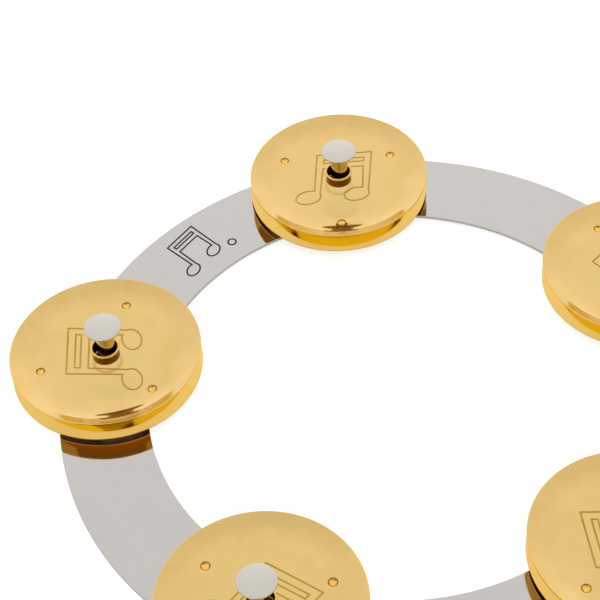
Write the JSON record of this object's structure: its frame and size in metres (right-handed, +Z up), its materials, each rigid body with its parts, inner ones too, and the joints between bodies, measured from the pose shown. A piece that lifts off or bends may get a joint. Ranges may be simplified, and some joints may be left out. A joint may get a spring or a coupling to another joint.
{
  "type": "jingle ring",
  "caption": "Headless tambourine: a flat steel ring with loose pairs of brass jingles on headed rivets, laid on a cymbal or shaken by hand.",
  "frame": {"origin": "on the ring's axis, 2.5 mm above the ring's top face, at the height of the centroid", "axes": "+Z up along the ring's axis, out of the face that carries the jingles; +Y through station 1; the stations run anticlockwise seen from above"},
  "size_m": [0.1961, 0.1893, 0.0181],
  "materials": {
    "polished_steel": "mirror polished",
    "brass": "polished"
  },
  "bodies": {
    "ring": {"ring": "polished_steel", "rivet_1": "polished_steel", "rivet_2": "polished_steel", "rivet_3": "polished_steel", "rivet_4": "polished_steel", "rivet_5": "polished_steel"},
    "lower_jingle_1": {"lower_jingle_1": "brass"},
    "upper_jingle_1": {"upper_jingle_1": "brass"},
    "lower_jingle_2": {"lower_jingle_2": "brass"},
    "upper_jingle_2": {"upper_jingle_2": "brass"},
    "lower_jingle_3": {"lower_jingle_3": "brass"},
    "upper_jingle_3": {"upper_jingle_3": "brass"},
    "lower_jingle_4": {"lower_jingle_4": "brass"},
    "upper_jingle_4": {"upper_jingle_4": "brass"},
    "lower_jingle_5": {"lower_jingle_5": "brass"},
    "upper_jingle_5": {"upper_jingle_5": "brass"}
  },
  "joints": [
    {"name": "lower_jingle_1_slide", "type": "slide", "parent": "ring", "child": "lower_jingle_1", "axis": [0, 0, 1], "range_m": [0, 0.0035]},
    {"name": "upper_jingle_1_slide", "type": "slide", "parent": "lower_jingle_1", "child": "upper_jingle_1", "axis": [0, 0, 1], "range_m": [0, 0.0035]},
    {"name": "lower_jingle_2_slide", "type": "slide", "parent": "ring", "child": "lower_jingle_2", "axis": [0, 0, 1], "range_m": [0, 0.0035]},
    {"name": "upper_jingle_2_slide", "type": "slide", "parent": "lower_jingle_2", "child": "upper_jingle_2", "axis": [0, 0, 1], "range_m": [0, 0.0035]},
    {"name": "lower_jingle_3_slide", "type": "slide", "parent": "ring", "child": "lower_jingle_3", "axis": [0, 0, 1], "range_m": [0, 0.0035]},
    {"name": "upper_jingle_3_slide", "type": "slide", "parent": "lower_jingle_3", "child": "upper_jingle_3", "axis": [0, 0, 1], "range_m": [0, 0.0035]},
    {"name": "lower_jingle_4_slide", "type": "slide", "parent": "ring", "child": "lower_jingle_4", "axis": [0, 0, 1], "range_m": [0, 0.0035]},
    {"name": "upper_jingle_4_slide", "type": "slide", "parent": "lower_jingle_4", "child": "upper_jingle_4", "axis": [0, 0, 1], "range_m": [0, 0.0035]},
    {"name": "lower_jingle_5_slide", "type": "slide", "parent": "ring", "child": "lower_jingle_5", "axis": [0, 0, 1], "range_m": [0, 0.0035]},
    {"name": "upper_jingle_5_slide", "type": "slide", "parent": "lower_jingle_5", "child": "upper_jingle_5", "axis": [0, 0, 1], "range_m": [0, 0.0035]}
  ]
}
